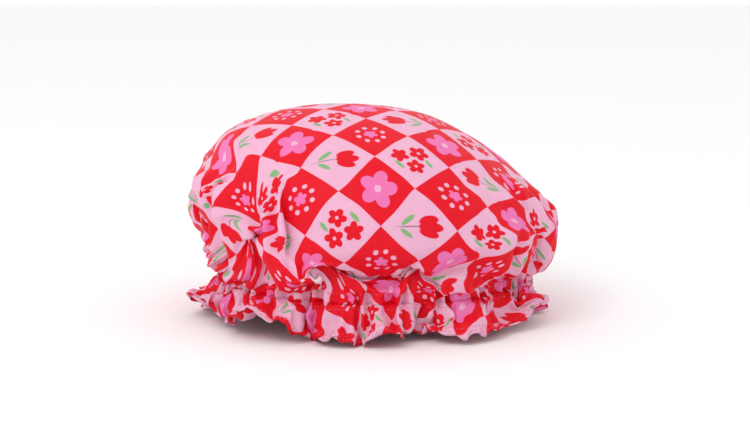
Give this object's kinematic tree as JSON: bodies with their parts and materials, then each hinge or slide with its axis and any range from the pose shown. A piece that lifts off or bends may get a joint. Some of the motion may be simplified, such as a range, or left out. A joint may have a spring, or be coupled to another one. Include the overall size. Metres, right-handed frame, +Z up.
{
  "type": "shower cap",
  "caption": "Bouffant fabric shower cap with a waterproof lining, an elastic band in a taped casing and a gathered double frill.",
  "frame": {"origin": "on the table under the middle of the cap's box, at the lowest folds of the frill", "axes": "+Z up towards the top of the crown, +X along the cap's longer way, to the right in the picture, and -Y towards the picture's viewer"},
  "size_m": [0.2622, 0.2424, 0.147],
  "materials": {
    "printed_cloth": "satin printed polyester, red and pale pink checks on point",
    "waterproof_film": "semi-matte waterproof film on a light cloth",
    "cotton_tape": "matte woven tape",
    "knitted_elastic": "matte knitted elastic with rubber cores",
    "frill_print": "satin printed polyester, red and pale pink checks on point",
    "frill_facing_print": "satin printed polyester, red and pale pink checks on point"
  },
  "bodies": {
    "root": {"crown_cloth": "printed_cloth", "crown_lining": "waterproof_film", "casing_tape": "cotton_tape", "elastic_band": "knitted_elastic", "frill_cloth": "frill_print", "frill_facing": "frill_facing_print"}
  },
  "joints": []
}
